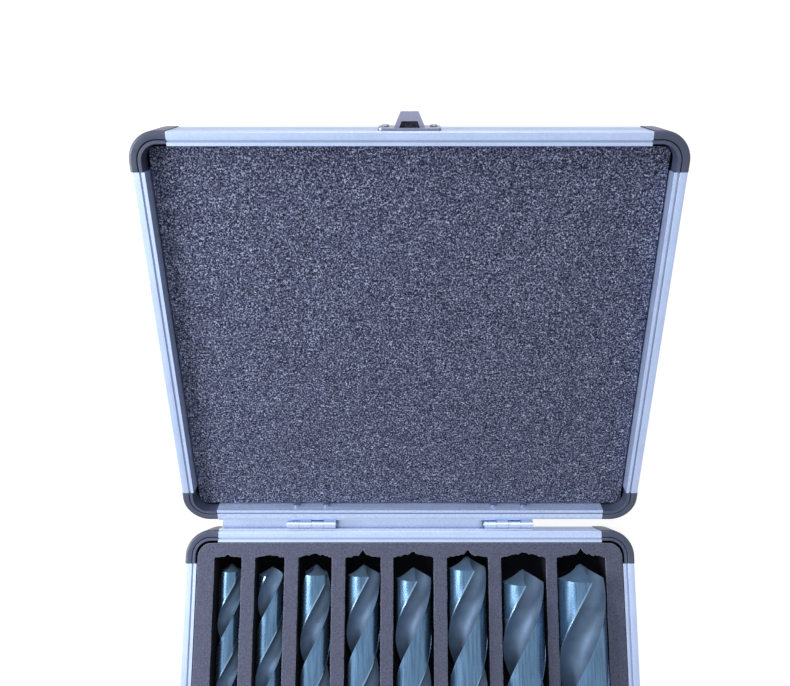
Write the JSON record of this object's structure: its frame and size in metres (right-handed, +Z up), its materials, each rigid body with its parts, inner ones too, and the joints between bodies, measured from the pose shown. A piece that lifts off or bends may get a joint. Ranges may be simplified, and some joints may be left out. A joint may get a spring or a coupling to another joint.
{
  "type": "drill bit case",
  "caption": "Flat hinged aluminium-framed case, shown open, with corner caps, foam-lined lid, cut foam tray and large reduced-shank twist drill bits.",
  "frame": {"origin": "centre of the underside of the base tray, which the case stands on", "axes": "+X to the right seen from the latch side, +Y towards the hinges, +Z up, lid open"},
  "size_m": [0.2408, 0.4125, 0.1275],
  "materials": {
    "anodised_rail": "clear anodised, satin",
    "cap_plastic": "moulded, semi-matt, near black",
    "panel_sheet": "smooth black sheet",
    "lid_foam": "coarse open-cell foam, speckled charcoal",
    "base_foam": "fine closed-cell foam, charcoal",
    "drill_steel": "black oxide",
    "hardware_steel": "plated, satin"
  },
  "bodies": {
    "base": {"base_panel": "panel_sheet", "base_rail_front": "anodised_rail", "base_rail_rear": "anodised_rail", "base_rail_left": "anodised_rail", "base_rail_right": "anodised_rail", "base_corner_front_left": "cap_plastic", "base_corner_front_right": "cap_plastic", "base_corner_rear_left": "cap_plastic", "base_corner_rear_right": "cap_plastic", "base_foam_liner": "base_foam", "base_foam_tray": "base_foam", "hinge_leaf_base_left": "hardware_steel", "hinge_leaf_base_right": "hardware_steel", "hinge_pin_left": "hardware_steel", "hinge_pin_right": "hardware_steel", "base_stop_strip": "anodised_rail", "hinge_rivets_base": "hardware_steel", "latch_base_plate": "hardware_steel", "latch_lever_pin": "hardware_steel", "latch_rivets_base": "hardware_steel"},
    "lid": {"lid_panel": "panel_sheet", "lid_rail_front": "anodised_rail", "lid_rail_rear": "anodised_rail", "lid_rail_left": "anodised_rail", "lid_rail_right": "anodised_rail", "lid_corner_front_left": "cap_plastic", "lid_corner_front_right": "cap_plastic", "lid_corner_rear_left": "cap_plastic", "lid_corner_rear_right": "cap_plastic", "lid_foam": "lid_foam", "hinge_leaf_lid_left": "hardware_steel", "hinge_leaf_lid_right": "hardware_steel", "lid_stop_strip": "anodised_rail", "hinge_rivets_lid": "hardware_steel", "latch_catch": "hardware_steel", "latch_rivets_lid": "hardware_steel"},
    "latch_lever": {"latch_lever": "hardware_steel", "latch_claw_pins": "hardware_steel"},
    "latch_claw": {"latch_claw": "hardware_steel"},
    "drill_bit_1": {"drill_bit_1": "drill_steel"},
    "drill_bit_2": {"drill_bit_2": "drill_steel"},
    "drill_bit_3": {"drill_bit_3": "drill_steel"},
    "drill_bit_4": {"drill_bit_4": "drill_steel"},
    "drill_bit_5": {"drill_bit_5": "drill_steel"},
    "drill_bit_6": {"drill_bit_6": "drill_steel"},
    "drill_bit_7": {"drill_bit_7": "drill_steel"},
    "drill_bit_8": {"drill_bit_8": "drill_steel"}
  },
  "joints": [
    {"name": "lid_hinge", "type": "hinge", "parent": "base", "child": "lid", "pos_m": [0, 0.10325, 0.02015], "axis": [-1, 0, 0], "range_deg": [-148, 0], "deforming": ["lid_foam"]},
    {"name": "latch_lever_hinge", "type": "hinge", "parent": "base", "child": "latch_lever", "pos_m": [0, -0.104, 0.0125], "axis": [-1, 0, 0], "range_deg": [0, 75]},
    {"name": "latch_claw_hinge", "type": "hinge", "parent": "latch_lever", "child": "latch_claw", "pos_m": [0, -0.1032, 0.009], "axis": [1, 0, 0], "range_deg": [-68, 0]},
    {"name": "drill_bit_1_lift", "type": "slide", "parent": "base", "child": "drill_bit_1", "axis": [0, 0, 1], "range_m": [0, 0.06]},
    {"name": "drill_bit_2_lift", "type": "slide", "parent": "base", "child": "drill_bit_2", "axis": [0, 0, 1], "range_m": [0, 0.06]},
    {"name": "drill_bit_3_lift", "type": "slide", "parent": "base", "child": "drill_bit_3", "axis": [0, 0, 1], "range_m": [0, 0.06]},
    {"name": "drill_bit_4_lift", "type": "slide", "parent": "base", "child": "drill_bit_4", "axis": [0, 0, 1], "range_m": [0, 0.06]},
    {"name": "drill_bit_5_lift", "type": "slide", "parent": "base", "child": "drill_bit_5", "axis": [0, 0, 1], "range_m": [0, 0.06]},
    {"name": "drill_bit_6_lift", "type": "slide", "parent": "base", "child": "drill_bit_6", "axis": [0, 0, 1], "range_m": [0, 0.06]},
    {"name": "drill_bit_7_lift", "type": "slide", "parent": "base", "child": "drill_bit_7", "axis": [0, 0, 1], "range_m": [0, 0.06]},
    {"name": "drill_bit_8_lift", "type": "slide", "parent": "base", "child": "drill_bit_8", "axis": [0, 0, 1], "range_m": [0, 0.06]}
  ]
}
